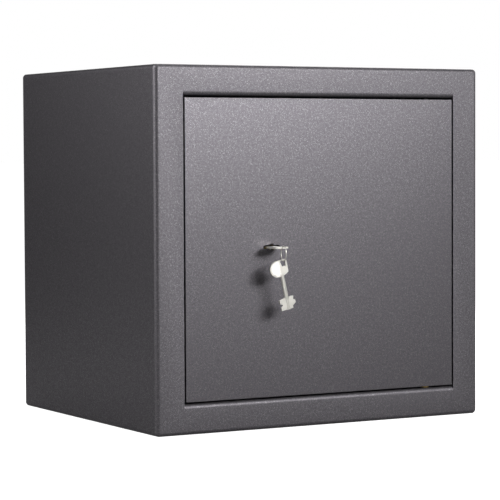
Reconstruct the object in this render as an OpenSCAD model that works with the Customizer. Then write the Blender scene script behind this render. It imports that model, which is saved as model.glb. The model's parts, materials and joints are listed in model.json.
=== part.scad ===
// Key-locking cabinet safe: sheet-steel body, flush double-walled door on concealed pivots,
// key-driven boltwork, loose shelf and floor mat. The origin is the middle of the base,
// +Z is up and the door faces -Y.

/* [Cabinet] */
// Overall width
cabinet_w = 450; // [380:1:600]
// Overall height
cabinet_h = 430; // [360:1:700]
// Overall depth
cabinet_d = 375; // [300:1:500]
// Thickness of the body, frame and return sheet
body_t = 3; // [2:0.5:4]
// Outside radius of the body's edges and corners
edge_r = 5; // [4.5:0.5:8]
// Width of the frame around the door
frame_w = 36; // [30:1:46]
// Outside radius of the bend on the inner edge of the top and bottom rails
rail_bend_r = 5.5; // [4.5:0.5:6]
// Depth of the frame's returns behind the front
return_d = 24; // [20:1:30]
// Distance between the two anchor holes in the base, and between the two in the back
anchor_pitch = 250; // [160:5:280]
// Diameter of an anchor hole
anchor_hole_d = 12; // [10:1:16]

/* [Door] */
// Gap between door and frame
door_gap = 2.2; // [1.8:0.1:3]
// Thickness of the door's front plate
door_plate_t = 5; // [4:0.5:6]
// Depth of the box behind the front plate
door_box_d = 43; // [38:1:55]
// Sheet thickness of the door box
door_box_t = 2; // [1.5:0.5:3]
// Distance that the box is set in from the plate's edge
door_box_inset = 4; // [3:0.5:8]
// Width of the lip that the inner cover is screwed to
cover_lip_w = 14; // [12:1:20]
// Thickness of the inner cover and its lip
cover_t = 1.5; // [1:0.5:2]

/* [Hinge] */
// Distance of the pivot from the door's hinge edge
pivot_inset = 34; // [32:1:45]
// Diameter of the pivot pins
pivot_d = 8; // [6:1:8]
// Length of a pivot pin
pivot_len = 38; // [30:1:45]

/* [Boltwork] */
// Diameter of a sliding bolt
bolt_d = 18; // [14:1:18]
// Length of a sliding bolt
bolt_len = 52; // [48:1:60]
// Distance between neighbouring sliding bolts
bolt_pitch = 110; // [80:1:120]
// Diameter of a fixed bolt on the hinge side
fixed_bolt_d = 16; // [12:1:16]
// How far a fixed bolt stands out of the door box
fixed_bolt_out = 14; // [12:1:16]
// Thickness of the bar that joins the sliding bolts
bolt_bar_t = 5; // [4:1:8]

/* [Lock] */
// Keyhole's place to the side of the door's centre
keyhole_x = -71.5; // [-80:0.5:-66]
// Keyhole's place above the cabinet's centre
keyhole_z = 1; // [-20:1:20]
// Module of the rack and pinion
gear_module = 1.1; // [1:0.05:1.2]
// Number of teeth on the pinion, which turns half a turn
pinion_teeth = 12; // [10:2:12]
// Number of levers
lever_count = 6; // [4:1:6]
// Angle through which a lever drops below its gate
lever_drop = 2.5; // [1.5:0.5:3]

/* [Keys] */
// Length of a key
key_len = 60; // [58:0.5:62]
// Thickness of a key's bow and bits
key_t = 2; // [1.6:0.1:2.2]
// Width of a key across both bits
bit_w = 21; // [19:0.5:21.5]
// Distance from the door's face to the far end of the bow
bow_out = 25.4; // [25:0.1:32]
// Outside diameter of the key ring
ring_d = 18.5; // [17:0.5:24]
// Diameter of the ring's wire
ring_wire_d = 1.2; // [1:0.1:1.6]
// Turn of the ring about the vertical
ring_turn = 10; // [0:1:20]
// Angle at which the spare key hangs
spare_tilt = 12.5; // [0:0.5:20]

/* [Fittings] */
// Height of the shelf above the base
shelf_z = 205; // [150:1:260]
// Sheet thickness of the shelf
shelf_t = 1.5; // [1:0.5:3]
// Thickness of the floor mat
mat_t = 2.5; // [2:0.5:5]

/* [Hidden] */

$fn = 96;
eps = 1;                    // how far a cutter runs past the face that it cuts
press_gap = 0.02;           // radial gap of a pin that is fixed in its hole
running_gap = 0.05;         // radial gap of a pin that turns or slides in its hole
screw_gap = 0.2;            // radial gap of a screw in its clearance hole

// Planes and places that everything else is set out from
y_front = -cabinet_d / 2;
z_mid = cabinet_h / 2;
open_w = cabinet_w - 2 * frame_w;
open_h = cabinet_h - 2 * frame_w;
door_w = open_w - 2 * door_gap;
door_h = open_h - 2 * door_gap;
key_x = keyhole_x;
key_z = z_mid + keyhole_z;

// Layers of the door, as depths behind its face; the lock's depths follow how far the key goes in
key_in = key_len - bow_out;
bits_len = 14.5;
bits_end = 0.5;             // how far the key's shank stands past its bits
hard_t = 2;
case_t = 1.5;
lever_t = 1.3;
lever_pitch = 1.5;
max_levers = 6;
y_hard = door_plate_t;
y_case = y_hard + hard_t;
y_levers = key_in - bits_end - bits_len;
y_disc = y_levers + max_levers * lever_pitch + 0.3;
slot_floor_t = 1;           // what is left of the carrier behind the slot for the key's bits
y_pinion = key_in + 0.2 + slot_floor_t;
carrier_disc_t = y_pinion - y_disc;
pinion_t = 4.5;
pinion_play = 0.5;
y_lock_cover = y_pinion + pinion_t + pinion_play;
lock_cover_t = 2;
y_cover = door_plate_t + door_box_d;

// Door box and lip
box_w = door_w - 2 * door_box_inset;
box_h = door_h - 2 * door_box_inset;
z_box = z_mid - box_h / 2;
cover_screw_d = 4;
cover_head_d = 8;
cover_head_h = 2.2;
cover_screw_len = 6;

// Pivots: the pin stands clear behind the front plate and behind the rails' bend
pivot_x = door_w / 2 - pivot_inset;
pivot_y = max(door_plate_t, rail_bend_r) + pivot_d / 2 + 1;
hinge_block_h = 12;
hinge_carrier_h = 18;
hinge_carrier_w = 28;
hinge_carrier_d = 15;
rail_hole_gap = 0.5;        // radial gap around a pivot pin in the rail and in the door box
pin_end_gap = 2;            // gap over the end of a pivot pin, inside its block

// Bolts
bolt_tip_x = -box_w / 2;
bolt_bar_x = bolt_tip_x + bolt_len;
guide_t = 3;
guide_x = bolt_tip_x + 22.8; // far enough in for the bolts' thrown length, and clear of their bar
fixed_bolt_len = 30;
bolt_screw_d = 5;
bolt_head_r = 3.5;
bolt_head_h = 4;
lock_bolt_t = 4;
y_lock_bolt = y_pinion + 0.2;
y_bolt = return_d + 1.5 + bolt_d / 2;  // the bolts run behind the frame's return

// Rack and pinion: half a turn of the key throws the bolts
pitch_r = gear_module * pinion_teeth / 2;
tooth_pitch = PI * gear_module;
bolt_throw = PI * pitch_r;
tooth_add = gear_module;
tooth_ded = 1.25 * gear_module;
tooth_half = [0.71, 0.6, 0.22] * gear_module;  // half a pinion tooth at its root, middle and tip
rack_half = [1.09, 0.29] * gear_module;        // half a rack tooth at its root and tip
window_r = pitch_r + 2.4;
lock_bolt_down = window_r + 4;
lock_bolt_up = window_r + 5;

// Lock case, around the keyhole
case_left = 40;
case_right = 50;
case_down = 26;
case_up = 30;
lock_screw_d = 4;
lock_screw_inset = 5;
screw_head_h = 3;
keyhole_w = bit_w + 1;
keyhole_h = 4.5;
keyhole_d = 8;
carrier_r = 13;
stump_w = 5;
stump_x = bolt_throw + carrier_r + stump_w / 2 + 1.8;
lever_pivot_x = -32;
lever_post_d = 5;
lever_window_r = bit_w / 2 + 0.4;
lever_ring_r = 17;
lever_eye_r = 6;
lever_edge = 7;             // lever's lower edge, below the key's middle
gate_half = stump_w / 2 + 0.3;
// Height of the pockets at both ends of the gate, which the levers drop over the stump with
pocket_h = gate_half + (stump_x - lever_pivot_x) * sin(lever_drop) + 0.3;
journal_r = 4;

// Keys
bow_len = 19.5;
bow_bar = 1.7;              // bar between the slot and the bow's end
slot_u = 4;                 // slot's place to the side of the key's shank
slot_len = 6.8;
ring_aside = 2;             // the ring hangs this far to the side of the slot's middle
spare_hang = 2;             // and the spare key this far to the side of its own
shank_r = 1.3;
ring_r = (ring_d - ring_wire_d) / 2;
bar_clear = 1.35;           // inner side of the ring's wire, from the middle of the bar that it hangs on
ring_x = key_x + slot_u - ring_aside;
ring_y = y_front - bow_out + bow_bar / 2;
ring_z = key_z + bar_clear - ring_r + ring_wire_d / 2;
ring_foot_z = ring_z - ring_r + ring_wire_d / 2;
spare_gap = 0.25;

// Shelf and brackets
inner_w = cabinet_w - 2 * body_t;
shelf_front = y_front + 74;
shelf_back = -y_front - body_t - 3;
shelf_side_gap = 2;
shelf_lip_h = 15;
bracket_w = 12;
bracket_len = 24;
bracket_h = 14;
mat_edge_gap = 6;
mat_hole_d = 30;

// ---------- shared shapes ----------

// A rounded rectangle on the XZ plane, pushed back along Y
module rounded_bar(w, h, r, depth) {
  rotate([90, 0, 0])
    mirror([0, 0, 1])
      linear_extrude(depth)
        union() {
          translate([-w / 2 + r, 0]) square([w - 2 * r, h]);
          translate([-w / 2, r]) square([w, h - 2 * r]);
          for (x = [-w / 2 + r, w / 2 - r], z = [r, h - r])
            translate([x, z]) circle(r);
        }
}

// Section of a sheet bent through a quarter turn: outer radius r around the origin
module bend_section(r) {
  difference() {
    circle(r);
    circle(r - body_t);
    translate([-2 * r, -2 * r]) square([2 * r, 4 * r]);
    translate([-eps, 0]) square([2 * r, 2 * r]);
  }
}

// Rod along X from x, and rod along Y from y
module rod_x(x, len, r) {
  translate([x, 0, 0]) rotate([0, 90, 0]) cylinder(h = len, r = r);
}
module rod_y(y, len, r) {
  translate([0, y, 0]) rotate([-90, 0, 0]) cylinder(h = len, r = r);
}

// The keyhole's outline as a cutter along Y
module keyhole_cut(y, depth) {
  translate([key_x, 0, key_z]) {
    translate([-keyhole_w / 2 + keyhole_h / 2, y, -keyhole_h / 2])
      cube([keyhole_w - keyhole_h, depth, keyhole_h]);
    for (x = [-1, 1])
      translate([x * (keyhole_w - keyhole_h) / 2, 0, 0]) rod_y(y, depth, keyhole_h / 2);
    rod_y(y, depth, keyhole_d / 2);
  }
}

// Puts its children at the lock's four screws
module at_lock_screws() {
  for (x = [-case_left + lock_screw_inset, case_right - lock_screw_inset],
       z = [-case_down + lock_screw_inset, case_up - lock_screw_inset])
    translate([key_x + x, 0, key_z + z]) children();
}

// Heights of the sliding and of the fixed bolts
live_bolt_z = [key_z - bolt_pitch, key_z, key_z + bolt_pitch];
fixed_bolt_z = [key_z - bolt_pitch, key_z + bolt_pitch];

// ---------- cabinet ----------

module body_wrap() {
  color("#55535c")
    difference() {
      translate([0, y_front + edge_r, 0])
        rounded_bar(cabinet_w, cabinet_h, edge_r, cabinet_d - edge_r);
      translate([0, y_front + edge_r - eps, body_t])
        rounded_bar(inner_w, cabinet_h - 2 * body_t, edge_r - body_t, cabinet_d + 2 * eps);
      for (x = [-1, 1])
        translate([x * anchor_pitch / 2, 0, -eps])
          cylinder(h = body_t + 2 * eps, d = anchor_hole_d);
    }
}

module back_panel() {
  color("#55535c")
    difference() {
      translate([0, -y_front - body_t, body_t])
        rounded_bar(inner_w, cabinet_h - 2 * body_t, edge_r - body_t, body_t);
      for (x = [-1, 1])
        translate([x * anchor_pitch / 2, 0, z_mid])
          rod_y(-y_front - body_t - eps, body_t + 2 * eps, anchor_hole_d / 2);
    }
}

// One rail's bend and return, with its front corner at the origin and the rail above it
module rail_return() {
  translate([0, rail_bend_r, rail_bend_r])
    rotate([0, 90, 0])
      linear_extrude(open_w, center = true) bend_section(rail_bend_r);
  translate([-open_w / 2, rail_bend_r, 0]) cube([open_w, return_d - rail_bend_r, body_t]);
}

// The frame's outer rim: a quarter-round bend along each side and a rounded corner between them
module rim() {
  side_run = cabinet_h - 2 * edge_r;
  rail_run = cabinet_w - 2 * edge_r;
  translate([0, edge_r, z_mid]) {
    for (m = [0, 1]) mirror([m, 0, 0])
      translate([rail_run / 2, 0, 0]) linear_extrude(side_run, center = true) bend_section(edge_r);
    for (m = [0, 1]) mirror([0, 0, m])
      translate([0, 0, side_run / 2])
        rotate([0, -90, 0]) linear_extrude(rail_run, center = true) bend_section(edge_r);
    for (mx = [0, 1], mz = [0, 1]) mirror([mx, 0, 0]) mirror([0, 0, mz])
      translate([rail_run / 2, 0, side_run / 2])
        rotate([-90, 0, 0]) rotate([0, 0, -90]) rotate_extrude(angle = 90) bend_section(edge_r);
  }
}

// The hole for a pivot pin through a rail's return
module pivot_hole(z, h, gap) {
  translate([pivot_x, y_front + pivot_y, z]) cylinder(h = h, r = pivot_d / 2 + gap);
}

module front_frame() {
  plate_w = cabinet_w - 2 * edge_r;
  plate_h = cabinet_h - 2 * edge_r;
  hole_h = open_h + 2 * rail_bend_r;
  color("#6c6a73")
    difference() {
      union() {
        difference() {
          translate([-plate_w / 2, y_front, edge_r]) cube([plate_w, body_t, plate_h]);
          translate([-open_w / 2, y_front - eps, z_mid - hole_h / 2])
            cube([open_w, body_t + 2 * eps, hole_h]);
        }
        translate([0, y_front, 0]) rim();
        translate([0, y_front, cabinet_h - frame_w]) rail_return();
        translate([0, y_front, frame_w]) mirror([0, 0, 1]) rail_return();
      }
      pivot_hole(frame_w - body_t - eps, body_t + 2 * eps, rail_hole_gap);
      pivot_hole(cabinet_h - frame_w - eps, body_t + 2 * eps, rail_hole_gap);
    }
}

module jamb(side) {
  color("#6c6a73")
    translate([side > 0 ? open_w / 2 : -open_w / 2 - body_t, y_front + body_t, frame_w - body_t])
      cube([body_t, return_d - body_t, open_h + 2 * body_t]);
}
module jamb_left() { jamb(-1); }
module jamb_right() { jamb(1); }

// Block behind a rail that carries a pivot pin; its front lower edge clears the rail's bend
module hinge_block() {
  bend_clear = rail_bend_r - body_t;
  color("#8a8a8e")
    difference() {
      translate([pivot_x - hinge_carrier_w / 2, y_front + body_t, 0])
        cube([hinge_carrier_w, return_d - body_t, hinge_block_h]);
      translate([pivot_x, y_front + body_t, 0])
        rotate([45, 0, 0])
          cube([2 * hinge_carrier_w, bend_clear * sqrt(2), bend_clear * sqrt(2)], center = true);
      pivot_hole(-eps, hinge_block_h + 2 * eps, running_gap);
    }
}
module hinge_block_upper() {
  translate([0, 0, cabinet_h - frame_w + body_t]) hinge_block();
}
module hinge_block_lower() {
  translate([0, 0, frame_w - body_t]) mirror([0, 0, 1]) hinge_block();
}

module shelf_brackets() {
  color("#55535c")
    for (side = [-1, 1], y = [shelf_front + 30, shelf_back - 30 - bracket_len])
      translate([side > 0 ? inner_w / 2 - bracket_w : -inner_w / 2, y, shelf_z - bracket_h])
        difference() {
          cube([bracket_w, bracket_len, bracket_h]);
          translate([side > 0 ? -body_t : body_t, -eps, -body_t])
            cube([bracket_w, bracket_len + 2 * eps, bracket_h]);
        }
}

module shelf() {
  w = inner_w - 2 * shelf_side_gap;
  color("#77767c") {
    translate([-w / 2, shelf_front, shelf_z]) cube([w, shelf_back - shelf_front, shelf_t]);
    translate([-w / 2 + bracket_w, shelf_front, shelf_z - shelf_lip_h])
      cube([w - 2 * bracket_w, shelf_t, shelf_lip_h]);
  }
}

module floor_mat() {
  color("#2d2d30")
    difference() {
      translate([-inner_w / 2 + mat_edge_gap, y_front + return_d, body_t])
        cube([inner_w - 2 * mat_edge_gap, cabinet_d - return_d - body_t - mat_edge_gap, mat_t]);
      for (x = [-1, 1])
        translate([x * anchor_pitch / 2, 0, 0]) cylinder(h = body_t + mat_t + eps, d = mat_hole_d);
    }
}

// ---------- door ----------

module door_plate() {
  color("#6c6a73")
    difference() {
      translate([-door_w / 2, y_front, z_mid - door_h / 2]) cube([door_w, door_plate_t, door_h]);
      keyhole_cut(y_front - eps, door_plate_t + 2 * eps);
    }
}

// Places of the inner cover's screws, on the middle of the lip
module at_cover_screws() {
  x = box_w / 2 - door_box_t - cover_lip_w / 2;
  z = box_h / 2 - door_box_t - cover_lip_w / 2;
  for (p = [[-x, -z], [0, -z], [x, -z], [-x, z], [0, z], [x, z]])
    translate([p[0], 0, z_mid + p[1]]) children();
}

module door_box() {
  lip = door_box_t + cover_lip_w;
  color("#55535c")
    difference() {
      translate([-box_w / 2, y_front + door_plate_t, z_box]) cube([box_w, door_box_d, box_h]);
      translate([-box_w / 2 + door_box_t, y_front, z_box + door_box_t])
        cube([box_w - 2 * door_box_t, y_cover - cover_t, box_h - 2 * door_box_t]);
      translate([-box_w / 2 + lip, y_front, z_box + lip])
        cube([box_w - 2 * lip, y_cover + eps, box_h - 2 * lip]);
      for (z = live_bolt_z)
        translate([0, y_front + y_bolt, z])
          rod_x(-box_w / 2 - eps, door_box_t + 2 * eps, bolt_d / 2 + running_gap);
      for (z = fixed_bolt_z)
        translate([0, y_front + y_bolt, z])
          rod_x(box_w / 2 - door_box_t - eps, door_box_t + 2 * eps, fixed_bolt_d / 2 + press_gap);
      pivot_hole(z_box - eps, door_box_t + 2 * eps, rail_hole_gap);
      pivot_hole(z_box + box_h - door_box_t - eps, door_box_t + 2 * eps, rail_hole_gap);
      at_cover_screws()
        rod_y(y_front + y_cover - cover_t - eps, cover_t + 2 * eps, cover_screw_d / 2 + press_gap);
    }
}

module door_cover() {
  color("#5d5c64")
    difference() {
      translate([-box_w / 2, y_front + y_cover, z_box]) cube([box_w, cover_t, box_h]);
      at_cover_screws()
        rod_y(y_front + y_cover - eps, cover_t + 2 * eps, cover_screw_d / 2 + screw_gap);
    }
}

module cover_screws() {
  color("#c9c9cc")
    at_cover_screws() {
      rod_y(y_front + y_cover - cover_screw_len, cover_screw_len + cover_t, cover_screw_d / 2);
      difference() {
        rod_y(y_front + y_cover + cover_t, cover_head_h, cover_head_d / 2);
        for (a = [0, 90])
          rotate([0, a, 0])
            translate([-2.2, y_front + y_cover + cover_t + 1, -0.5]) cube([4.4, cover_head_h, 1]);
      }
    }
}

// Block inside the door box that holds a pivot pin
module hinge_carrier(z) {
  color("#8a8a8e")
    difference() {
      translate([pivot_x - hinge_carrier_w / 2, y_front + door_plate_t, z])
        cube([hinge_carrier_w, hinge_carrier_d, hinge_carrier_h]);
      pivot_hole(z - eps, hinge_carrier_h + 2 * eps, press_gap);
    }
}
module hinge_carrier_upper() { hinge_carrier(z_box + box_h - door_box_t - hinge_carrier_h); }
module hinge_carrier_lower() { hinge_carrier(z_box + door_box_t); }

// A pivot pin with its outer end chamfered
module hinge_pin() {
  color("#c2c2c6")
    translate([pivot_x, y_front + pivot_y, 0]) {
      cylinder(h = pivot_len - 1, d = pivot_d);
      translate([0, 0, pivot_len - 1]) cylinder(h = 1, d1 = pivot_d, d2 = pivot_d - 2);
    }
}
module hinge_pin_upper() {
  top = cabinet_h - frame_w + body_t + hinge_block_h - pin_end_gap;
  translate([0, 0, top - pivot_len]) hinge_pin();
}
module hinge_pin_lower() {
  foot = frame_w - body_t - hinge_block_h + pin_end_gap;
  translate([0, 0, foot + pivot_len]) mirror([0, 0, 1]) hinge_pin();
}

// Collar on the lower pin, which carries the door's weight on the bottom rail
module thrust_collar() {
  color("#c2a35a")
    difference() {
      translate([pivot_x, y_front + pivot_y, frame_w])
        cylinder(h = z_box - frame_w, r = pivot_y - door_plate_t - 0.1);
      pivot_hole(frame_w - eps, z_box - frame_w + 2 * eps, press_gap);
    }
}

module fixed_bolts() {
  color("#c2c2c6")
    for (z = fixed_bolt_z)
      translate([0, y_front + y_bolt, z]) {
        rod_x(box_w / 2 + fixed_bolt_out - fixed_bolt_len, fixed_bolt_len - 2, fixed_bolt_d / 2);
        translate([box_w / 2 + fixed_bolt_out - 2, 0, 0])
          rotate([0, 90, 0]) cylinder(h = 2, d1 = fixed_bolt_d, d2 = fixed_bolt_d - 4);
      }
}

module bolt_guide() {
  h = 2 * bolt_pitch + 60;
  color("#8a8a8e")
    difference() {
      translate([guide_x, y_front + door_plate_t, key_z - h / 2])
        cube([guide_t, door_box_d - cover_t - 0.5, h]);
      for (z = live_bolt_z)
        translate([0, y_front + y_bolt, z])
          rod_x(guide_x - eps, guide_t + 2 * eps, bolt_d / 2 + running_gap);
    }
}

// ---------- lock ----------

module hard_plate() {
  color("#8a8a8e")
    difference() {
      translate([key_x - case_left, y_front + y_hard, key_z - case_down])
        cube([case_left + case_right, hard_t, case_down + case_up]);
      keyhole_cut(y_front + y_hard - eps, hard_t + 2 * eps);
      at_lock_screws() rod_y(y_front + y_hard - eps, hard_t + 2 * eps, lock_screw_d / 2 + screw_gap);
    }
}

module lock_case() {
  depth = y_lock_cover - y_case;
  w = case_left + case_right;
  h = case_down + case_up;
  color("#b8b8bc")
    difference() {
      translate([key_x - case_left, y_front + y_case, key_z - case_down]) cube([w, depth, h]);
      translate([key_x - case_left + case_t, y_front + y_case + case_t, key_z - case_down + case_t])
        cube([w - 2 * case_t, depth, h - 2 * case_t]);
      keyhole_cut(y_front + y_case - eps, case_t + 2 * eps);
      at_lock_screws() rod_y(y_front + y_case - eps, case_t + 2 * eps, lock_screw_d / 2 + screw_gap);
      translate([key_x - case_left - eps, y_front + y_pinion, key_z - lock_bolt_down - 0.1])
        cube([case_t + 2 * eps, lock_bolt_t + 0.4, lock_bolt_down + lock_bolt_up + 0.2]);
    }
}

module lock_cover() {
  color("#b8b8bc")
    difference() {
      translate([key_x - case_left, y_front + y_lock_cover, key_z - case_down])
        cube([case_left + case_right, lock_cover_t, case_down + case_up]);
      translate([key_x, 0, key_z])
        rod_y(y_front + y_lock_cover - eps, lock_cover_t + 2 * eps, journal_r + running_gap);
      at_lock_screws()
        rod_y(y_front + y_lock_cover - eps, lock_cover_t + 2 * eps, lock_screw_d / 2 + screw_gap);
    }
}

module lock_screws() {
  head_y = y_lock_cover + lock_cover_t;
  color("#c9c9cc")
    at_lock_screws() {
      rod_y(y_front + door_plate_t, head_y - door_plate_t, lock_screw_d / 2);
      difference() {
        rod_y(y_front + head_y, screw_head_h, lock_screw_d * 0.9);
        translate([0, y_front + head_y + screw_head_h * 0.4, 0])
          rotate([-90, 0, 0]) cylinder(h = screw_head_h, d = lock_screw_d * 0.85, $fn = 6);
      }
    }
}

module lever_post() {
  color("#c2c2c6")
    translate([key_x + lever_pivot_x, 0, key_z])
      rod_y(y_front + y_case + case_t, y_levers - y_case - case_t + lever_count * lever_pitch,
            lever_post_d / 2);
}

// One lever's outline around the key's axis: pivot eye, belly around the bits, tail with its gate
module lever_outline() {
  far = stump_x + stump_w / 2 + 0.5;
  near = stump_x - bolt_throw - stump_w / 2 - 0.5;
  pocket_w = stump_w + 2;
  difference() {
    union() {
      translate([lever_pivot_x, 0]) circle(lever_eye_r);
      translate([lever_pivot_x, -lever_eye_r]) square([-lever_pivot_x, 2 * lever_eye_r]);
      circle(lever_ring_r);
      translate([0, -lever_edge]) square([far + 4, lever_edge + pocket_h + 4]);
    }
    translate([lever_pivot_x, 0]) circle(lever_post_d / 2 + running_gap);
    for (x = [-1, 1]) translate([x, 0]) circle(lever_window_r);
    translate([near, -gate_half]) square([far - near, 2 * gate_half]);
    for (x = [near, far - pocket_w])
      translate([x, -gate_half]) square([pocket_w, gate_half + pocket_h]);
  }
}

module lever_pack() {
  color("#c9b06a")
    for (i = [0 : lever_count - 1])
      translate([key_x, y_front + y_levers + i * lever_pitch, key_z])
        rotate([90, 0, 0]) mirror([0, 0, 1]) linear_extrude(lever_t) lever_outline();
}

// Leaf springs, one on each lever's tail, which reach up to the case
module lever_springs() {
  foot = pocket_h + 4;
  top = case_up - case_t - 0.1;
  color("#a9a9ad")
    for (i = [0 : lever_count - 1])
      translate([key_x, y_front + y_levers + i * lever_pitch, key_z])
        rotate([90, 0, 0]) mirror([0, 0, 1]) linear_extrude(lever_t)
          polygon([[22, foot], [30, foot], [30, foot + 0.4], [24, foot + 0.4],
                   [33, top], [32.5, top]]);
}

// One pinion tooth, pointing up from the middle of the wheel
module pinion_tooth() {
  root = pitch_r - tooth_ded;
  tip = pitch_r + tooth_add;
  polygon([[-tooth_half[0], root - 1], [-tooth_half[0], root], [-tooth_half[1], pitch_r],
           [-tooth_half[2], tip], [tooth_half[2], tip],
           [tooth_half[1], pitch_r], [tooth_half[0], root], [tooth_half[0], root - 1]]);
}

// The turning part of the lock: a disc with a slot for the bits, a pinion and a rear journal
module key_carrier() {
  color("#c9b06a")
    difference() {
      translate([key_x, 0, key_z]) {
        rod_y(y_front + y_disc, carrier_disc_t, carrier_r);
        translate([0, y_front + y_pinion, 0])
          rotate([90, 0, 0]) mirror([0, 0, 1])
            linear_extrude(pinion_t)
              union() {
                circle(pitch_r - tooth_ded);
                for (i = [0 : pinion_teeth - 1])
                  rotate(360 / pinion_teeth * (i + 0.5)) pinion_tooth();
              }
        rod_y(y_front + y_pinion + pinion_t, pinion_play + lock_cover_t, journal_r);
      }
      translate([key_x - bit_w / 2 - 0.4, y_front + y_disc - eps, key_z - key_t / 2 - 0.3])
        cube([bit_w + 0.8, carrier_disc_t - slot_floor_t + eps, key_t + 0.6]);
      translate([key_x, 0, key_z])
        rod_y(y_front + y_disc - eps, carrier_disc_t - slot_floor_t + eps, shank_r * 2 + 0.3);
    }
}

// Lock bolt: a plate with a rack that the pinion drives, and a stump that passes the levers' gates
module lock_bolt() {
  right = stump_x + stump_w / 2 + 1;
  left = bolt_bar_x + bolt_bar_t - key_x;
  root_z = pitch_r + tooth_ded;
  tip = 0.05 - tooth_ded - tooth_add;
  color("#b0b0b4")
    translate([key_x, y_front + y_lock_bolt, key_z]) {
      rotate([90, 0, 0]) mirror([0, 0, 1])
        linear_extrude(lock_bolt_t)
          union() {
            difference() {
              translate([left, -lock_bolt_down])
                square([right - left, lock_bolt_down + lock_bolt_up]);
              translate([-window_r, -window_r])
                square([2 * window_r + bolt_throw, window_r + root_z]);
              translate([left - eps, -bolt_head_r - 0.5])
                square([bolt_head_h + 1 + eps, 2 * bolt_head_r + 1]);
            }
            for (i = [-2 : pinion_teeth / 2 + 2])
              translate([i * tooth_pitch, root_z])
                polygon([[-rack_half[0], 0.5], [-rack_half[0], 0], [-rack_half[1], tip],
                         [rack_half[1], tip], [rack_half[0], 0], [rack_half[0], 0.5]]);
          }
      translate([stump_x - stump_w / 2, y_levers - y_lock_bolt, -stump_w / 2])
        cube([stump_w, y_lock_bolt - y_levers, stump_w]);
    }
}

module bolt_bar() {
  h = 2 * bolt_pitch + 40;
  color("#8a8a8e")
    difference() {
      translate([bolt_bar_x, y_front + y_bolt - bolt_d / 2, key_z - h / 2])
        cube([bolt_bar_t, bolt_d, h]);
      for (z = live_bolt_z)
        translate([0, y_front + y_bolt, z])
          rod_x(bolt_bar_x - eps, bolt_bar_t + 2 * eps, bolt_screw_d / 2 + screw_gap);
    }
}

module live_bolts() {
  color("#c2c2c6")
    for (z = live_bolt_z)
      translate([0, y_front + y_bolt, z])
        difference() {
          union() {
            rod_x(bolt_tip_x + 2, bolt_len - 2, bolt_d / 2);
            translate([bolt_tip_x, 0, 0])
              rotate([0, 90, 0]) cylinder(h = 2, d1 = bolt_d - 4, d2 = bolt_d);
          }
          rod_x(bolt_bar_x - 12, 12 + eps, bolt_screw_d / 2 + press_gap);
        }
}

module bolt_screws() {
  color("#c9c9cc")
    for (z = live_bolt_z)
      translate([0, y_front + y_bolt, z]) {
        rod_x(bolt_bar_x - 11, 11 + bolt_bar_t, bolt_screw_d / 2);
        difference() {
          rod_x(bolt_bar_x + bolt_bar_t, bolt_head_h, bolt_head_r);
          translate([bolt_bar_x + bolt_bar_t + bolt_head_h / 2, 0, 0])
            rotate([0, 90, 0]) cylinder(h = bolt_head_h, d = bolt_screw_d * 0.8, $fn = 6);
        }
      }
}

// ---------- keys ----------

// A key in its own frame: bow's end at y = 0, tip at y = key_len, bits to both sides along X
module key_shape() {
  bits_y = key_len - bits_len - bits_end;
  half = bit_w / 2;
  difference() {
    translate([0, 0, -key_t / 2])
      linear_extrude(key_t)
        hull() {
          translate([-5.2, 10]) circle(9.7);
          translate([6.8, 2.6]) circle(2.2);
          translate([6.6, 14.6]) circle(2.4);
          translate([0, bow_len - 1]) circle(1.5);
        }
    translate([0, 0, -key_t])
      linear_extrude(2 * key_t)
        polygon([[slot_u - 4, bow_bar], [slot_u + 3.6, bow_bar],
                 [slot_u + 2.6, bow_bar + slot_len], [slot_u - 2.2, bow_bar + slot_len]]);
  }
  translate([0, 0, -key_t / 2])
    linear_extrude(key_t)
      polygon([[-1.6, bow_len - 1], [-1.6, bits_y], [-half, bits_y + 1.6], [-half, bits_y + 6.4],
               [-half + 3.2, bits_y + 7.4], [-half + 3.2, bits_y + 9], [-half + 0.6, bits_y + 10],
               [-half + 0.6, bits_y + bits_len], [-2.2, bits_y + bits_len], [-2.2, key_len],
               [2.2, key_len], [2.2, bits_y + bits_len], [half - 4.4, bits_y + bits_len],
               [half - 4.4, bits_y + 11.6], [half - 1.4, bits_y + 9.8], [half, bits_y + 8.6],
               [half, bits_y + 5.6], [half - 2.6, bits_y + 4.2], [half - 1.6, bits_y + 0.4],
               [half - 4.2, bits_y], [1.6, bits_y], [1.6, bow_len - 1]]);
  for (x = [-1, 1])
    translate([x * shank_r, bow_len - 2, 0])
      rotate([-90, 0, 0]) cylinder(h = key_len - bow_len + 2, r = shank_r);
}

module key() {
  color("#dcd8cc")
    translate([key_x, y_front - bow_out, key_z]) key_shape();
}

module key_ring() {
  color("#d8d6d0")
    translate([ring_x, ring_y, ring_z])
      rotate([0, 0, -ring_turn])
        rotate([0, 90, 0])
          rotate_extrude() translate([ring_r, 0]) circle(ring_wire_d / 2);
}

module spare_key() {
  color("#dcd8cc")
    translate([ring_x, ring_y, ring_foot_z + spare_gap])
      rotate([0, -spare_tilt, 0])
        rotate([-90, 0, 0])
          translate([-slot_u - spare_hang, -bow_bar, 0]) key_shape();
}

body_wrap();
back_panel();
front_frame();
jamb_left();
jamb_right();
hinge_block_upper();
hinge_block_lower();
shelf_brackets();
shelf();
floor_mat();
door_plate();
door_box();
door_cover();
cover_screws();
hinge_carrier_upper();
hinge_carrier_lower();
hinge_pin_upper();
hinge_pin_lower();
thrust_collar();
fixed_bolts();
bolt_guide();
hard_plate();
lock_case();
lock_cover();
lock_screws();
lever_post();
lever_pack();
lever_springs();
key_carrier();
lock_bolt();
bolt_bar();
live_bolts();
bolt_screws();
key();
key_ring();
spare_key();
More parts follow.
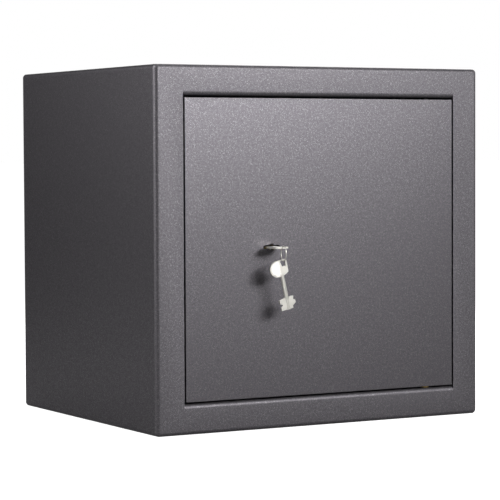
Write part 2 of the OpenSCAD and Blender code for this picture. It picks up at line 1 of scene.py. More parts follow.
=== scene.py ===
# %% [markdown]
# # A key-locking cabinet safe
#
# The safe is a sheet-steel cabinet with a door that lies flush in its frame. A key is in the
# lock and a spare key hangs from it on a small ring. Behind the door are a boltwork, a lever
# lock, a loose shelf and a felt mat.
#
# All the steel parts come from the engineering model, which also holds the joints. Here they
# get rounded edges and finishes, and the things that a CAD kernel is poor at: felt, weld beads
# and the pressed ribs on a key's bow. The first cell loads the model as a fixed frame, so every
# later piece can take its place from it.

# %% Load the frame
import json
import math

import bmesh
import bpy
from mathutils import Matrix, Vector
from mathutils import noise as smooth_noise


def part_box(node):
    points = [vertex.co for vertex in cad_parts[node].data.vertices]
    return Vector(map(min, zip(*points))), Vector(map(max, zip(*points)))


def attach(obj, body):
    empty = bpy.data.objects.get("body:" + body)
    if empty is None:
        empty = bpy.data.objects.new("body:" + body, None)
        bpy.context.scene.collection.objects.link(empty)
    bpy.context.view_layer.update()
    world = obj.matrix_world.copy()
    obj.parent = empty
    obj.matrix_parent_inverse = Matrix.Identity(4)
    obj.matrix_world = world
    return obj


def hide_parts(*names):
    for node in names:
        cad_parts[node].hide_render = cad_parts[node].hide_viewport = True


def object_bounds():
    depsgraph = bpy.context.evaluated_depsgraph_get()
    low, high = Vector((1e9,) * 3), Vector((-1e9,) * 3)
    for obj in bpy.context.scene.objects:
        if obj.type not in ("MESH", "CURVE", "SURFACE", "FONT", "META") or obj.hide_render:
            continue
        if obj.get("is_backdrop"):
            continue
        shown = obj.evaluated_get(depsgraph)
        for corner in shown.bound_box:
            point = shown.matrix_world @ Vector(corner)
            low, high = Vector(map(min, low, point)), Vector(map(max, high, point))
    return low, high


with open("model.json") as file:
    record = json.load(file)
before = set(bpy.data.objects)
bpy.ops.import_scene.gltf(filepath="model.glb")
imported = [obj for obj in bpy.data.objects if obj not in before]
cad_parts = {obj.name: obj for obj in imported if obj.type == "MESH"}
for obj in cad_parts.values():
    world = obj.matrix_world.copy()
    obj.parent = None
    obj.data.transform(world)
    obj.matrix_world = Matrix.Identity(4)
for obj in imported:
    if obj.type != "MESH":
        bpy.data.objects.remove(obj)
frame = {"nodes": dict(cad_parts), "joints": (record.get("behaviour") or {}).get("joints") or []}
nodes = frame["nodes"]
cad_low, cad_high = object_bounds()
size = cad_high - cad_low
MM = 0.001
print("loaded", len(nodes), "parts;", "overall", [round(side / MM) for side in size], "mm")

# %% [markdown]
# ## The camera
#
# A catalogue picture of a cabinet is taken from low down and from far away with a long lens, so
# that its upright edges stay upright and the front and one side both show. The camera is turned
# to the right by `turn` and down by `dip`, and stands where those two angles put the cabinet in
# the middle of the frame. A small `roll` levels the picture.

# %% Camera
turn, dip, roll = math.radians(29.53), math.radians(2.57), math.radians(-0.264)
camera_data = bpy.data.cameras.new("camera")
camera_data.lens = 156.75
camera_data.sensor_width = 36
camera = bpy.data.objects.new("camera", camera_data)
aim = Matrix.Rotation(-turn, 4, "Z") @ Matrix.Rotation(math.pi / 2 - dip, 4, "X")
stand = Matrix.Translation((-1.3615, -2.4128, 0.3281))
camera.matrix_world = stand @ aim @ Matrix.Rotation(roll, 4, "Z")
bpy.context.scene.collection.objects.link(camera)
bpy.context.scene.camera = camera
bpy.context.scene.view_settings.view_transform = "Standard"
print("camera is", round(camera.location.length, 2), "m from the foot of the safe")

# %% [markdown]
# ## Helpers for shader nodes
#
# A finish is a small network of nodes. Four helpers keep each network short enough to read:
# `make` adds a node, `maths` and `blend` combine two values or two colours, and `new_group`
# starts a node group, which is an effect that several finishes share.


# %% Node helpers
def wire(tree, source, socket):
    """Connect a socket to another socket, or set it to a plain value."""
    if isinstance(source, bpy.types.NodeSocket):
        tree.links.new(source, socket)
    else:
        socket.default_value = source


def make(tree, kind, inputs=None, **settings):
    """Add a shader node with its settings and its inputs."""
    node = tree.nodes.new("ShaderNode" + kind)
    for name, value in settings.items():
        setattr(node, name, value)
    for name, value in (inputs or {}).items():
        wire(tree, value, node.inputs[name])
    return node


def maths(tree, operation, a, b=0.0, clamp=False):
    node = make(tree, "Math", {0: a, 1: b}, operation=operation, use_clamp=clamp)
    return node.outputs[0]


def stretch(tree, value, low, high):
    """Map the range from low to high onto 0 to 1."""
    node = make(tree, "MapRange", {"Value": value, "From Min": low, "From Max": high})
    return node.outputs[0]


def blend(tree, factor, a, b):
    """Mix two colours, given as sockets or as red, green, blue."""
    node = make(tree, "Mix", data_type="RGBA")
    wire(tree, factor, node.inputs[0])
    for source, socket in ((a, node.inputs[6]), (b, node.inputs[7])):
        wire(tree, source if isinstance(source, bpy.types.NodeSocket) else (*source, 1), socket)
    return node.outputs[2]


def noise(tree, coords, scale, detail=2.0, roughness=0.5):
    node = make(
        tree,
        "TexNoise",
        {"Vector": coords, "Scale": scale, "Detail": detail, "Roughness": roughness},
    )
    return node.outputs["Fac"]


def new_group(name, inputs, outputs):
    """Start a node group; returns its tree, its inputs by name and its outputs by name."""
    tree = bpy.data.node_groups.new(name, "ShaderNodeTree")
    for label, value in inputs.items():
        kind = "NodeSocketVector" if isinstance(value, tuple) else "NodeSocketFloat"
        tree.interface.new_socket(label, in_out="INPUT", socket_type=kind).default_value = value
    for label in outputs:
        tree.interface.new_socket(label, in_out="OUTPUT", socket_type="NodeSocketFloat")
    start, end = tree.nodes.new("NodeGroupInput"), tree.nodes.new("NodeGroupOutput")
    return tree, start.outputs, end.inputs


def use(tree, group, **values):
    """Place a node group in a material with its own values; returns its outputs."""
    node = make(tree, "Group", node_tree=group)
    for name, value in values.items():
        wire(tree, value, node.inputs[name.replace("_", " ")])
    return node.outputs


# %% [markdown]
# ## Powder coat grain
#
# Powder coat is sprayed on dry and baked. It flows only a little, so it keeps a fine pebbled
# skin under a millimetre across, and a metallic grade has bright flecks in it. The grain can be
# made from two textures: a noise for the uneven skin, and Voronoi cells for the separate
# grains and flecks. Object coordinates are used, because every part sits at the origin of the
# same frame, so the grain has one size over the whole safe and runs on from part to part.

# %% Group: powder grain
powder_grain, given, result = new_group(
    "powder_grain",
    {"Grain": 0.8 * MM, "Mottle": 3 * MM, "Fleck": 0.5 * MM},
    ("Height", "Cloud", "Flecks"),
)
t = powder_grain
coords = make(t, "TexCoord").outputs["Object"]
grain_scale = maths(t, "DIVIDE", 1.0, given["Grain"])
skin = noise(t, coords, grain_scale, 2.5, 0.6)
grains = make(t, "TexVoronoi", {"Vector": coords, "Scale": grain_scale}).outputs["Distance"]
wire(t, maths(t, "SUBTRACT", skin, maths(t, "MULTIPLY", grains, 0.45)), result["Height"])
cloud = noise(t, coords, maths(t, "DIVIDE", 1.0, given["Mottle"]), 3.0, 0.7)
wire(t, stretch(t, cloud, 0.32, 0.68), result["Cloud"])
cells = make(
    t, "TexVoronoi", {"Vector": coords, "Scale": maths(t, "DIVIDE", 1.0, given["Fleck"])}
)
chosen = make(t, "SeparateColor", {"Color": cells.outputs["Color"]}).outputs[0]
chosen = maths(t, "GREATER_THAN", chosen, 0.86)
small = stretch(t, cells.outputs["Distance"], 0.55, 0.25)
wire(t, maths(t, "MULTIPLY", chosen, small, clamp=True), result["Flecks"])
print("powder_grain has", len(t.nodes), "nodes")

# %% [markdown]
# ## Edge wear
#
# Paint draws thin over an edge, and hands and tools rub the edges first. The Bevel node gives
# the normal that the surface would have with a rounded edge. Where it differs from the real
# normal, an edge is near. A coarse noise breaks the line up, since wear is never even.

# %% Group: edge wear
edge_wear, given, result = new_group("edge_wear", {"Radius": 1 * MM, "Amount": 1.0}, ("Wear",))
t = edge_wear
rounded = make(t, "Bevel", {"Radius": given["Radius"]}, samples=6).outputs["Normal"]
real = make(t, "NewGeometry").outputs["Normal"]
agree = make(t, "VectorMath", {0: rounded, 1: real}, operation="DOT_PRODUCT").outputs["Value"]
near = maths(t, "MULTIPLY", maths(t, "SUBTRACT", 1.0, agree), 7.0, clamp=True)
patches = stretch(t, noise(t, make(t, "TexCoord").outputs["Object"], 90.0, 4.0, 0.65), 0.35, 0.62)
worn = maths(t, "MULTIPLY", near, patches, clamp=True)
wire(t, maths(t, "MULTIPLY", worn, given["Amount"]), result["Wear"])
print("edge_wear has", len(t.nodes), "nodes")

# %% [markdown]
# ## Dust
#
# A little dust settles on whatever faces up. The mask is the upward part of the normal, broken
# up by a noise of about two centimetres and a fine one that makes it look like specks.

# %% Group: settled dust
settled_dust, given, result = new_group("settled_dust", {"Amount": 0.5}, ("Dust",))
t = settled_dust
coords = make(t, "TexCoord").outputs["Object"]
normal = make(t, "NewGeometry").outputs["Normal"]
up = stretch(t, make(t, "SeparateXYZ", {"Vector": normal}).outputs["Z"], 0.75, 0.98)
drift = stretch(t, noise(t, coords, 45.0, 3.0), 0.35, 0.7)
specks = stretch(t, noise(t, coords, 1500.0, 2.0), 0.45, 0.7)
lying = maths(t, "MULTIPLY", up, maths(t, "MULTIPLY", drift, specks))
wire(t, maths(t, "MULTIPLY", lying, given["Amount"], clamp=True), result["Dust"])
print("settled_dust has", len(t.nodes), "nodes")

# %% [markdown]
# ## Tool marks
#
# Ground, turned and rolled steel all carry fine parallel marks, and only their direction
# differs. One group serves them all: it squeezes the coordinates along the direction in which
# the marks change, by `Lay`, which is the number of marks to the metre along each axis. A turned
# bolt that lies along X has rings, so its marks change along X. A rolled plate has lines.

# %% Group: tool marks
tool_marks, given, result = new_group(
    "tool_marks", {"Lay": (60.0, 60.0, 3000.0)}, ("Height", "Streak")
)
t = tool_marks
coords = make(t, "TexCoord").outputs["Object"]
laid = make(t, "VectorMath", {0: coords, 1: given["Lay"]}, operation="MULTIPLY").outputs[0]
fine = noise(t, laid, 1.0, 3.0, 0.75)
broad = noise(t, laid, 0.12, 2.0, 0.6)
marks = maths(t, "ADD", maths(t, "MULTIPLY", fine, 0.7), maths(t, "MULTIPLY", broad, 0.3))
wire(t, marks, result["Height"])
wire(t, stretch(t, broad, 0.35, 0.65), result["Streak"])
print("tool_marks has", len(t.nodes), "nodes")

# %% [markdown]
# ## The finishes
#
# Each finish is one material with its own Principled shader. Values that are the same all over
# are set on the shader itself, and only what changes over the surface comes through nodes. The
# bump heights are real heights in metres.


# %% Start a material
def new_material(name, **constants):
    """A material with a Principled shader; returns the material, its tree and its shader."""
    material = bpy.data.materials.new(name)
    material.use_nodes = True
    tree = material.node_tree
    shader = tree.nodes["Principled BSDF"]
    for label, value in constants.items():
        shader.inputs[label.replace("_", " ")].default_value = value
    return material, tree, shader


def bump(tree, shader, height, depth, strength=1.0):
    """Feed a height, scaled to a depth in metres, to the shader's normal."""
    node = make(tree, "Bump", {"Height": height, "Strength": strength, "Distance": depth})
    wire(tree, node.outputs["Normal"], shader.inputs["Normal"])


# %% [markdown]
# ### Graphite powder coat
#
# The cabinet and door are sprayed in a graphite coat with a faint violet cast. It is half paint
# and half metal: a soft lamp spreads over it in a broad sheen, and the flecks catch it one by
# one. The front frame has the same colours in a slightly rougher grade, so its sheen is wider
# and weaker than the door's. The shelf has a plainer, paler grade.


# %% Powder coat
def powder_coat(name, dark, light, fleck, gloss, metallic, grain_depth):
    """A metallic powder coat in two tones, with bright flecks, worn edges and settled dust."""
    material, tree, shader = new_material(name, Metallic=metallic)
    grain = use(tree, powder_grain, Grain=0.8 * MM, Mottle=2.8 * MM, Fleck=0.6 * MM)
    wear = use(tree, edge_wear, Radius=1.2 * MM, Amount=0.55)["Wear"]
    dust = use(tree, settled_dust, Amount=0.35)["Dust"]
    colour = blend(tree, grain["Cloud"], dark, light)
    colour = blend(tree, grain["Flecks"], colour, fleck)
    colour = blend(tree, wear, colour, [shade * 2.1 for shade in light])
    colour = blend(tree, dust, colour, (0.30, 0.29, 0.27))
    wire(tree, colour, shader.inputs["Base Color"])
    rough = maths(tree, "MULTIPLY_ADD", grain["Cloud"], -0.07)
    rough.node.inputs[2].default_value = gloss + 0.035
    rough = maths(tree, "SUBTRACT", rough, maths(tree, "MULTIPLY", grain["Flecks"], 0.1))
    rough = maths(tree, "ADD", rough, maths(tree, "MULTIPLY", dust, 0.3), clamp=True)
    wire(tree, rough, shader.inputs["Roughness"])
    bump(tree, shader, grain["Height"], grain_depth, 0.8)
    return material


GRAPHITE = {
    "dark": (0.106, 0.1, 0.11),
    "light": (0.15, 0.142, 0.155),
    "fleck": (0.38, 0.365, 0.38),
}
graphite_coat = powder_coat(
    "graphite_coat", **GRAPHITE, gloss=0.47, metallic=0.97, grain_depth=0.05 * MM
)
frame_coat = powder_coat(
    "frame_coat", **GRAPHITE, gloss=0.56, metallic=0.85, grain_depth=0.06 * MM
)
shelf_paint = powder_coat(
    "shelf_paint",
    dark=(0.2, 0.196, 0.205),
    light=(0.255, 0.25, 0.26),
    fleck=(0.45, 0.44, 0.45),
    gloss=0.5,
    metallic=0.35,
    grain_depth=0.04 * MM,
)

# %% [markdown]
# ### Bare and plated metal
#
# The boltwork isn't painted. Its bar, guide and plates are rolled steel with a dull oily skin, its
# bolts and the lever post are turned and bright, and the hinge pins are blackened. Their near-black
# colour is partly painted shade: it keeps the door gap dark where the pins show through it. The
# lock's case and screws are zinc plated, its levers, the turning carrier and the hinge's collar are
# brass, and the keys are nickel plated. They differ in colour, in how sharp their reflections
# are, and in which way their marks run.


# %% Metal finish
def metal(name, dark, light, rough, lay, depth=0.01 * MM, wear=0.3, spread=0.12):
    """A bare or plated metal; lay gives its marks to the metre along each axis."""
    material, tree, shader = new_material(name, Metallic=1.0)
    marks = use(tree, tool_marks, Lay=lay)
    worn = use(tree, edge_wear, Radius=0.5 * MM, Amount=wear)["Wear"]
    coords = make(tree, "TexCoord").outputs["Object"]
    stain = stretch(tree, noise(tree, coords, 120.0, 4.0, 0.6), 0.35, 0.7)
    colour = blend(tree, stain, light, dark)
    colour = blend(tree, maths(tree, "MULTIPLY", marks["Streak"], 0.35), colour, dark)
    colour = blend(tree, worn, colour, [min(1.0, shade * 1.25) for shade in light])
    wire(tree, colour, shader.inputs["Base Color"])
    varied = maths(tree, "MULTIPLY", maths(tree, "ADD", stain, marks["Streak"]), spread)
    rubbed = maths(tree, "MULTIPLY", worn, 0.1)
    varied = maths(tree, "SUBTRACT", maths(tree, "ADD", varied, rough), rubbed)
    wire(tree, varied, shader.inputs["Roughness"])
    bump(tree, shader, marks["Height"], depth)
    return material


ROLLED = (25.0, 25.0, 2200.0)
RINGS_X = (3500.0, 30.0, 30.0)
RINGS_Y = (30.0, 3500.0, 30.0)
RINGS_Z = (30.0, 30.0, 3500.0)
mill_steel = metal("mill_steel", (0.2, 0.2, 0.2), (0.36, 0.355, 0.35), 0.36, ROLLED)
turned_bolt = metal("turned_bolt", (0.48, 0.48, 0.49), (0.68, 0.68, 0.68), 0.17, RINGS_X)
# The hinge pins' near-black colour is partly painted shade, so the door gap stays dark where they show
# through it.
black_oxide = metal("black_oxide", (0.012, 0.012, 0.013), (0.03, 0.03, 0.032), 0.4, RINGS_Z)
turned_pin = metal("turned_pin", (0.48, 0.48, 0.49), (0.68, 0.68, 0.68), 0.2, RINGS_Y)
zinc_plate = metal("zinc_plate", (0.5, 0.52, 0.5), (0.72, 0.72, 0.69), 0.28, (140.0, 140.0, 140.0))
brass = metal("brass", (0.52, 0.35, 0.12), (0.78, 0.58, 0.26), 0.24, (1800.0, 60.0, 60.0))
nickel = metal(
    "nickel",
    (0.74, 0.72, 0.66),
    (0.9, 0.88, 0.82),
    rough=0.33,
    lay=(900.0, 700.0, 700.0),
    depth=0.005 * MM,
    wear=0.5,
    spread=0.06,
)
print("finishes so far:", [material.name for material in bpy.data.materials if material.users == 0])

# %% [markdown]
# ## Rounded edges and finishes on the steel parts
#
# The engineering model has perfectly sharp edges, but no real edge is sharp: sheet steel is
# deburred and paint rounds it further, and an edge is seen mostly by the line of light on it. A
# Bevel modifier cuts a narrow rounded strip. The mesh arrives with its faces split along every
# edge, so a small geometry-nodes modifier first joins them and clears the stored normals. Neither
# modifier moves a part or changes its own mesh.

# %% Modifier that joins faces
joined = bpy.data.node_groups.new("joined_faces", "GeometryNodeTree")
for direction in ("INPUT", "OUTPUT"):
    joined.interface.new_socket("Geometry", in_out=direction, socket_type="NodeSocketGeometry")
incoming, outgoing = joined.nodes.new("NodeGroupInput"), joined.nodes.new("NodeGroupOutput")
merge = joined.nodes.new("GeometryNodeMergeByDistance")
merge.inputs["Distance"].default_value = 0.001 * MM
plain = joined.nodes.new("GeometryNodeSetMeshNormal")
joined.links.new(incoming.outputs[0], merge.inputs["Geometry"])
joined.links.new(merge.outputs[0], plain.inputs["Mesh"])
joined.links.new(plain.outputs[0], outgoing.inputs[0])


# %% Finish a steel part
def finish(name, material, edge, segments=3, angle=32):
    """Give a part its material and edges rounded to a width in millimetres."""
    part = nodes[name]
    part.data.materials.clear()
    part.data.materials.append(material)
    part.modifiers.new("joined", "NODES").node_group = joined
    rounding = part.modifiers.new("rounded", "BEVEL")
    rounding.width = edge * MM
    rounding.segments = segments
    rounding.limit_method = "ANGLE"
    rounding.angle_limit = math.radians(angle)
    rounding.harden_normals = True


# %% Finishes of the cabinet and door
for name in ("body_wrap", "back_panel", "jamb_left", "jamb_right", "shelf_brackets"):
    finish(name, graphite_coat, 0.45)
finish("front_frame", frame_coat, 0.45)
for name in ("door_plate", "door_box", "door_cover", "hinge_block_upper", "hinge_block_lower"):
    finish(name, graphite_coat, 0.6 if name == "door_plate" else 0.3)
finish("shelf", shelf_paint, 0.3)

# %% Finishes of the boltwork, lock and keys
for name in ("hinge_carrier_upper", "hinge_carrier_lower", "bolt_guide"):
    finish(name, mill_steel, 0.3)
for name in ("hard_plate", "bolt_bar", "lock_bolt"):
    finish(name, mill_steel, 0.3)
for name in ("live_bolts", "fixed_bolts"):
    finish(name, turned_bolt, 0.3)
# Near-black pins: partly painted shade for the door gap where they show through it.
for name in ("hinge_pin_upper", "hinge_pin_lower"):
    finish(name, black_oxide, 0.2)
finish("lever_post", turned_pin, 0.2)
for name in ("lock_case", "lock_cover", "lock_screws", "cover_screws", "bolt_screws", "lever_springs"):
    finish(name, zinc_plate, 0.08 if name == "lever_springs" else 0.2)
for name in ("lever_pack", "key_carrier", "thrust_collar"):
    finish(name, brass, 0.12)
for name in ("key", "spare_key", "key_ring"):
    finish(name, nickel, 0.35)
print("finished", sum(1 for part in nodes.values() if part.modifiers), "steel parts")

# %% [markdown]
# ## The felt mat
#
# The cabinet's floor is covered by a needled felt mat with a round hole over each anchor hole.
# Felt has no weave: its fibres lie every way, so it is matt, its edge is soft, and it never lies
# quite flat. The mat is built as a thin slab with a fine grid, and its top is raised and lowered
# by a smooth noise of at most 0.16 mm. It is a laid sheet of cloth, and it stands for the plain
# slab of the engineering model.

# %% Size of the mat
mat_low, mat_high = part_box("floor_mat")
mat_size = mat_high - mat_low
hole_x, hole_r = 0.125, 0.015
print("mat", [round(side / MM, 1) for side in mat_size], "mm")


# %% [markdown]
# The flat sheet is laid out first. Around each hole it has rings of quads that change from a
# circle to a square, and the square's points are evenly spaced, so they meet the plain grid that
# fills the rest. The sheet is then given its thickness.


# %% Lay out the sheet
def square_points(half, per_side):
    """Evenly spaced points around a square, anticlockwise from its lower right corner."""
    sides = (((1, -1), (0, 1)), ((1, 1), (-1, 0)), ((-1, 1), (0, -1)), ((-1, -1), (1, 0)))
    step = 2 * half / per_side
    return [
        Vector((x * half + dx * k * step, y * half + dy * k * step, 0))
        for (x, y), (dx, dy) in sides
        for k in range(per_side)
    ]


def lay_hole(bm, centre, half, cell):
    """Quads between a round hole and the square around it."""
    outline = square_points(half, round(2 * half / cell))
    rings = []
    for share in (0.0, 0.1, 0.4, 1.0):
        rings.append([bm.verts.new(centre + (p.normalized() * hole_r).lerp(p, share)) for p in outline])
    for inner, outer in zip(rings, rings[1:]):
        for k in range(len(outline)):
            n = (k + 1) % len(outline)
            bm.faces.new((inner[k], outer[k], outer[n], inner[n]))


def lay_grid(bm, x0, x1, y0, y1, cell):
    """A plain grid of quads."""
    nx, ny = max(1, round((x1 - x0) / cell)), max(1, round((y1 - y0) / cell))
    rows = [
        [bm.verts.new((x0 + (x1 - x0) * a / nx, y0 + (y1 - y0) * b / ny, 0)) for b in range(ny + 1)]
        for a in range(nx + 1)
    ]
    for a in range(nx):
        for b in range(ny):
            bm.faces.new((rows[a][b], rows[a + 1][b], rows[a + 1][b + 1], rows[a][b + 1]))


felt = bmesh.new()
half, cell = 0.03, 0.005
for side in (-1, 1):
    lay_hole(felt, Vector((side * hole_x, 0, 0)), half, cell)
columns = [mat_low.x, -hole_x - half, -hole_x + half, hole_x - half, hole_x + half, mat_high.x]
rows = [mat_low.y, -half, half, mat_high.y]
for i, (x0, x1) in enumerate(zip(columns, columns[1:])):
    for j, (y0, y1) in enumerate(zip(rows, rows[1:])):
        if not (j == 1 and i in (1, 3)):
            lay_grid(felt, x0, x1, y0, y1, cell)
bmesh.ops.remove_doubles(felt, verts=felt.verts, dist=0.05 * MM)
print("mat sheet has", len(felt.faces), "faces and", sum(e.is_boundary for e in felt.edges), "edge lengths")


# %% Add a mesh piece
def add_piece(name, bm, material, body, smooth=True):
    """Turn a bmesh into a piece with its material, which rides on a body."""
    mesh = bpy.data.meshes.new(name)
    bmesh.ops.recalc_face_normals(bm, faces=bm.faces)
    bm.to_mesh(mesh)
    bm.free()
    for face in mesh.polygons:
        face.use_smooth = smooth
    mesh.materials.append(material)
    piece = bpy.data.objects.new(name, mesh)
    bpy.context.scene.collection.objects.link(piece)
    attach(piece, body)
    return piece


# %% [markdown]
# ### Felt finish
#
# Needled felt is dark grey with paler fibres. The fibres are drawn by noise that is itself
# pushed about by a second noise, which bends its blobs into curls. A sheen on the shader stands
# for the loose fibre ends that catch the light along the surface.

# %% Felt material
felt_grey, tree, shader = new_material("felt_grey", Roughness=0.95)
shader.inputs["Sheen Weight"].default_value = 0.1
shader.inputs["Sheen Roughness"].default_value = 0.6
coords = make(tree, "TexCoord").outputs["Object"]
pushed = make(tree, "TexNoise", {"Vector": coords, "Scale": 260.0, "Detail": 2.0}).outputs["Color"]
pushed = make(tree, "VectorMath", {0: pushed, 1: (0.012, 0.012, 0.012)}, operation="MULTIPLY").outputs[0]
curled = make(tree, "VectorMath", {0: coords, 1: pushed}, operation="ADD").outputs[0]
fibres = stretch(tree, noise(tree, curled, 900.0, 4.0, 0.7), 0.35, 0.65)
tufts = stretch(tree, noise(tree, coords, 160.0, 3.0, 0.6), 0.3, 0.7)
pale = maths(tree, "MULTIPLY", fibres, maths(tree, "ADD", maths(tree, "MULTIPLY", tufts, 0.6), 0.3))
wire(tree, blend(tree, pale, (0.022, 0.022, 0.024), (0.13, 0.13, 0.135)), shader.inputs["Base Color"])
height = maths(tree, "ADD", fibres, maths(tree, "MULTIPLY", tufts, 1.5))
bump(tree, shader, height, 0.22 * MM)

# %% [markdown]
# ### The mat piece
#
# The sheet is extruded to its thickness. Its edges wander inwards by up to 0.4 mm, as a cut
# with shears does, its top has the soft waves, and a modifier rounds its sharp edges.

# %% Thicken, wave and add the mat
raised = bmesh.ops.extrude_face_region(felt, geom=felt.faces[:])["geom"]
top = {v for v in raised if isinstance(v, bmesh.types.BMVert)}
for vert in felt.verts:
    x, y = vert.co.x, vert.co.y
    wave = smooth_noise.noise(Vector((x, y, 0.0)) * 28.0)
    lift = mat_size.z * 0.93 + 0.16 * MM * wave if vert in top else 0.0
    vert.co.z = mat_low.z + lift
    ragged = 0.4 * MM * (1 + smooth_noise.noise(Vector((x, y, 1.0)) * 60.0)) / 2
    for axis, low, high in ((0, mat_low.x, mat_high.x), (1, mat_low.y, mat_high.y)):
        if abs(vert.co[axis] - low) < 0.1 * MM:
            vert.co[axis] += ragged
        if abs(vert.co[axis] - high) < 0.1 * MM:
            vert.co[axis] -= ragged
mat = add_piece("felt_mat", felt, felt_grey, "cabinet")
soft_edge = mat.modifiers.new("soft_edge", "BEVEL")
soft_edge.width = 0.7 * MM
soft_edge.segments = 3
soft_edge.limit_method = "ANGLE"
soft_edge.angle_limit = math.radians(50)
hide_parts("floor_mat")
print("mat has", len(mat.data.polygons), "faces")

# %% [markdown]
# ## Pressed ribs on the keys
#
# A key of this kind is stamped from sheet, and its round lobe is pressed into low ribs that give
# the thumb a grip. Each rib is a low half-round bar, cut shorter where the lobe is narrower. The
# same ribs are made once in the key's own frame, on both of its faces, and then placed on each
# key. The places come from the joints: the key turns about its shank, and the spare key hangs
# from the bar of its slot. The values are in millimetres and degrees. In the key's own frame X
# runs across the bow, Y along the key from the bow's end, and Z through its thickness.

# %% Values of the key's bow
LOBE_X, LOBE_Y, LOBE_R = -5.2, 10.0, 9.7
KEY_T, BOW_BAR, SPARE_TILT = 2.0, 1.7, 12.5
HANG_X = 6.0
RIB_W, RIB_H, RIB_PITCH, RIB_EDGE = 1.1, 0.1, 1.9, 1.7
joints = {joint["name"]: Vector(joint["pos_m"]) for joint in frame["joints"] if "pos_m" in joint}
print("key axis at", [round(x / MM, 1) for x in joints["key_turn"]], "mm")


# %% Make ribs in the key's own frame
def add_rib(bm, x0, x1, y, face):
    """A low half-round bar along X on the front face (1) or the back face (-1), in millimetres."""
    steps, arc = 10, 6
    sections = []
    for i in range(steps + 1):
        along = i / steps
        taper = math.sqrt(max(0.0, 1 - abs(2 * along - 1) ** 6))
        section = []
        for k in range(arc + 1):
            a = math.pi * k / arc
            across = math.cos(a) * RIB_W / 2 * max(taper, 0.25)
            up = math.sin(a) * RIB_H * taper - 0.05
            section.append(bm.verts.new((x0 + (x1 - x0) * along, y + across, face * (KEY_T / 2 + up))))
        sections.append(section)
    for one, two in zip(sections, sections[1:]):
        for k in range(arc):
            bm.faces.new((one[k], two[k], two[k + 1], one[k + 1]))
        bm.faces.new((one[0], one[arc], two[arc], two[0]))
    for end in (sections[0], sections[-1]):
        bm.faces.new(end)


def key_ribs():
    bm = bmesh.new()
    count = int((LOBE_R - RIB_EDGE) / RIB_PITCH)
    for row in range(-count, count + 1):
        reach = math.sqrt((LOBE_R - RIB_EDGE) ** 2 - (row * RIB_PITCH) ** 2)
        for face in (-1, 1):
            add_rib(bm, LOBE_X - reach, min(LOBE_X + reach, -0.6), LOBE_Y + row * RIB_PITCH, face)
    return bm


# %% Place ribs on both keys
bow_end = Vector((joints["key_turn"].x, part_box("key")[0].y, joints["key_turn"].z))
in_lock = Matrix.Translation(bow_end)
hanging = (
    Matrix.Translation(joints["spare_swing"])
    @ Matrix.Rotation(math.radians(-SPARE_TILT), 4, "Y")
    @ Matrix.Rotation(math.radians(-90), 4, "X")
    @ Matrix.Translation(Vector((-HANG_X, -BOW_BAR, 0)) * MM)
)
for name, place, body in (("key_ribs", in_lock, "key"), ("spare_key_ribs", hanging, "spare")):
    bm = key_ribs()
    bm.transform(place @ Matrix.Diagonal((MM, MM, MM, 1)))
    add_piece(name, bm, nickel, body)
print("ribs placed on both keys")

# %% [markdown]
# ## Weld beads
#
# The cabinet is welded. A bead is a row of overlapping ripples, where the pool of metal set again
# and again as the torch moved on. Each is swept along a straight seam: its cross-section is a low
# mound, and its height and width swell and sink with every ripple. Paint covers them, so they take
# the same coat as the sheet.


# %% Sweep a weld bead
def add_bead(bm, start, end, side, normal, width, height, ripple=1.1):
    """A rippled mound from start to end, in metres; side and normal are unit vectors."""
    length = (end - start).length
    steps = max(8, int(length / (ripple * MM) * 4))
    arc = 6
    sections = []
    for i in range(steps + 1):
        along = length * i / steps
        phase = (along / (ripple * MM)) % 1
        swell = 0.82 + 0.18 * math.sin(math.pi * phase)
        drift = 0.06 * smooth_noise.noise(start * 50 + Vector((along * 180, 0, 0)))
        closing = min(1.0, min(along, length - along) / (1.5 * MM) + 0.15)
        section = []
        for k in range(arc + 1):
            a = math.pi * k / arc
            lift = math.sin(a) * height * (swell + drift) * closing - 0.02 * MM
            across = (math.cos(a) * width / 2 + drift * width) * closing
            section.append(bm.verts.new(start.lerp(end, i / steps) + side * across + normal * lift))
        sections.append(section)
    for one, two in zip(sections, sections[1:]):
        for k in range(arc):
            bm.faces.new((one[k], two[k], two[k + 1], one[k + 1]))
        bm.faces.new((one[0], one[arc], two[arc], two[0]))
    for end_cap in (sections[0], sections[-1]):
        bm.faces.new(end_cap)


# %% [markdown]
# The back panel stands inside the wrapped body and is welded all round its edge in short runs.
# Small fillets join the jambs to the rails behind the frame.

# %% Weld the back panel
X, Y, Z = Vector((1, 0, 0)), Vector((0, 1, 0)), Vector((0, 0, 1))
back_low, back_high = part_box("back_panel")
back_y = cad_high.y
bm = bmesh.new()
run, runs = 0.032, 4
seam_width, seam_height = 0.005, 0.0007
for share in [(k + 0.5) / runs for k in range(runs)]:
    x = back_low.x + (back_high.x - back_low.x) * share
    z = back_low.z + (back_high.z - back_low.z) * share
    for edge in (back_low.z, back_high.z):
        start, end = Vector((x - run / 2, back_y, edge)), Vector((x + run / 2, back_y, edge))
        add_bead(bm, start, end, Z, Y, seam_width, seam_height)
    for edge in (back_low.x, back_high.x):
        start, end = Vector((edge, back_y, z - run / 2)), Vector((edge, back_y, z + run / 2))
        add_bead(bm, start, end, X, Y, seam_width, seam_height)
add_piece("back_welds", bm, graphite_coat, "cabinet")

# %% Weld the jambs to the rails
jamb_low, jamb_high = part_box("jamb_left")
jamb_right_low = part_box("jamb_right")[0]
fillet_run, fillet_width, fillet_height = 0.017, 0.0045, 0.0013
bm = bmesh.new()
for x, inward in ((jamb_low.x, -1), (jamb_right_low.x + jamb_high.x - jamb_low.x, 1)):
    for z, upward in ((jamb_low.z, -1), (jamb_high.z, 1)):
        corner = Vector((x, jamb_high.y - fillet_run, z))
        lean = (X * inward + Z * upward).normalized()
        flat = (X * inward - Z * upward).normalized()
        add_bead(bm, corner, corner + Y * fillet_run, flat, lean, fillet_width, fillet_height)
add_piece("frame_welds", bm, graphite_coat, "cabinet")
print("weld beads added")

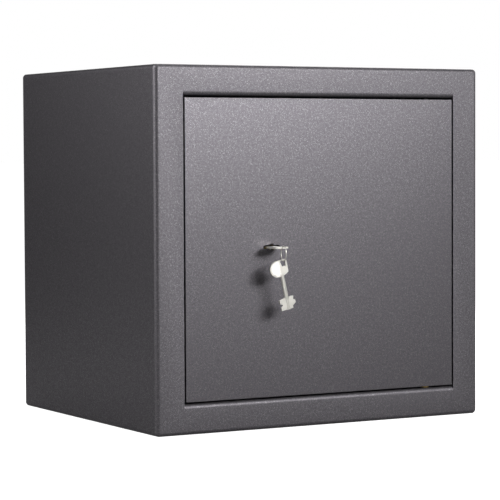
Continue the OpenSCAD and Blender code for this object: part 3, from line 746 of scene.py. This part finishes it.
# %% [markdown]
# ## Floor, backdrop and lights
#
# The safe stands on a white floor in white surroundings. Four soft lamps light it: one in front
# and a little to the right, one at its left side, a weak one overhead and one behind. The floor
# and the surroundings are plain white to the camera, while they send the safe much less light
# than that, so that the paint keeps its depth. The Light Path node makes that difference. Close
# to the safe the floor also shows the soft shadow that grounds it.

# %% World
world = bpy.data.worlds.new("studio")
bpy.context.scene.world = world
world.use_nodes = True
tree = world.node_tree
tree.nodes.clear()
height = make(tree, "SeparateXYZ", {"Vector": make(tree, "TexCoord").outputs["Generated"]}).outputs["Z"]
sky = stretch(tree, height, -0.5, 0.9)
surround = make(tree, "Background", {"Color": blend(tree, sky, (0.04, 0.04, 0.04), (0.09, 0.09, 0.09))})
white = make(tree, "Background", {"Color": (1, 1, 1, 1), "Strength": 1.0})
seen = make(tree, "LightPath").outputs["Is Camera Ray"]
mixed = make(tree, "MixShader", {0: seen, 1: surround.outputs[0], 2: white.outputs[0]})
make(tree, "OutputWorld", {"Surface": mixed.outputs[0]})

# %% Floor
floor_paper = bpy.data.materials.new("floor_paper")
floor_paper.use_nodes = True
tree = floor_paper.node_tree
tree.nodes.clear()
coords = make(tree, "TexCoord").outputs["Object"]
distance = make(tree, "VectorMath", {0: coords}, operation="LENGTH").outputs["Value"]
far = stretch(tree, distance, 0.35, 1.1)
glow = maths(tree, "MULTIPLY_ADD", far, 0.3)
glow.node.inputs[2].default_value = 0.72
lit = make(tree, "BsdfDiffuse", {"Color": (0.8, 0.8, 0.8, 1)}).outputs[0]
glowing = make(tree, "Emission", {"Strength": glow}).outputs[0]
to_camera = make(tree, "AddShader", {0: lit, 1: glowing}).outputs[0]
to_safe = make(tree, "BsdfDiffuse", {"Color": (0.3, 0.3, 0.3, 1)}).outputs[0]
seen = make(tree, "LightPath").outputs["Is Camera Ray"]
mixed = make(tree, "MixShader", {0: seen, 1: to_safe, 2: to_camera}).outputs[0]
make(tree, "OutputMaterial", {"Surface": mixed})
floor_mesh = bpy.data.meshes.new("floor")
reach = 60.0
corners = [(-reach, -reach, 0), (reach, -reach, 0), (reach, reach, 0), (-reach, reach, 0)]
floor_mesh.from_pydata(corners, [], [(0, 1, 2, 3)])
floor_mesh.materials.append(floor_paper)
floor = bpy.data.objects.new("floor", floor_mesh)
floor.location.z = cad_low.z - 0.05 * MM
bpy.context.scene.collection.objects.link(floor)
floor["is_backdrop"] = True


# %% Lamps
def add_lamp(name, toward, azimuth, elevation, distance, width, tall, power):
    """A soft lamp that looks at a point; azimuth 0 is in front of the door, 90 to its right."""
    data = bpy.data.lights.new(name, "AREA")
    data.shape = "RECTANGLE"
    data.size = width
    data.size_y = tall
    data.energy = power
    lamp = bpy.data.objects.new(name, data)
    turned, raised = math.radians(azimuth), math.radians(elevation)
    flat = math.cos(raised)
    direction = Vector((math.sin(turned) * flat, -math.cos(turned) * flat, math.sin(raised)))
    lamp.location = toward + direction * distance
    lamp.rotation_mode = "QUATERNION"
    lamp.rotation_quaternion = direction.to_track_quat("Z", "Y")
    bpy.context.scene.collection.objects.link(lamp)
    return lamp


keyhole = Vector((joints["key_turn"].x, cad_low.y, joints["key_turn"].z))
lid = Vector((0, 0, cad_high.z))
add_lamp("key_softbox", keyhole, 23, 24, 1.4, 0.8, 0.4, 22.0)
add_lamp("side_softbox", keyhole, -107, 27, 1.45, 0.7, 0.7, 17.0)
add_lamp("top_softbox", lid, -20, 80, 1.1, 0.8, 0.8, 4.0)
add_lamp("back_softbox", lid, 140, 25, 1.6, 1.0, 1.0, 14.0)

# %% [markdown]
# ## Sizes
#
# Nothing made here may change the safe's size, so the box of the engineering model and the box
# of the finished model are written side by side.

# %% Measure the growth
low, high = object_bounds()
print("grown by", [round((b - a) / MM, 2) for a, b in zip(size, high - low)], "mm")
